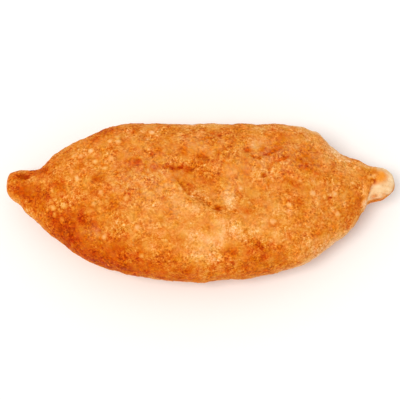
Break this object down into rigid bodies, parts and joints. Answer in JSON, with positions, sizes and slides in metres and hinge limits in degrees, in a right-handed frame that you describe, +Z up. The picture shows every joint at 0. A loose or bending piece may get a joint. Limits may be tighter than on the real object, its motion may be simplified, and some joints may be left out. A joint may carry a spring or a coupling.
{
  "type": "fried potato piroshki",
  "caption": "Fried stuffed bun: a bowed dough spindle with pinched nubs at both ends, a sunken creased crown and a small flat to rest on.",
  "frame": {"origin": "on the surface that the bun rests on, under the middle of its box", "axes": "+X runs from nub to nub, +Z is up through the sunken crown, and -Y is the side that bulges more"},
  "size_m": [0.15, 0.0633, 0.0293],
  "materials": {
    "fried_crust": "deep-fried wheat dough, orange-brown and mottled, with fine blisters and a dull oily sheen; paler at the pinched nubs"
  },
  "bodies": {
    "root": {"piroshki": "fried_crust"}
  },
  "joints": []
}
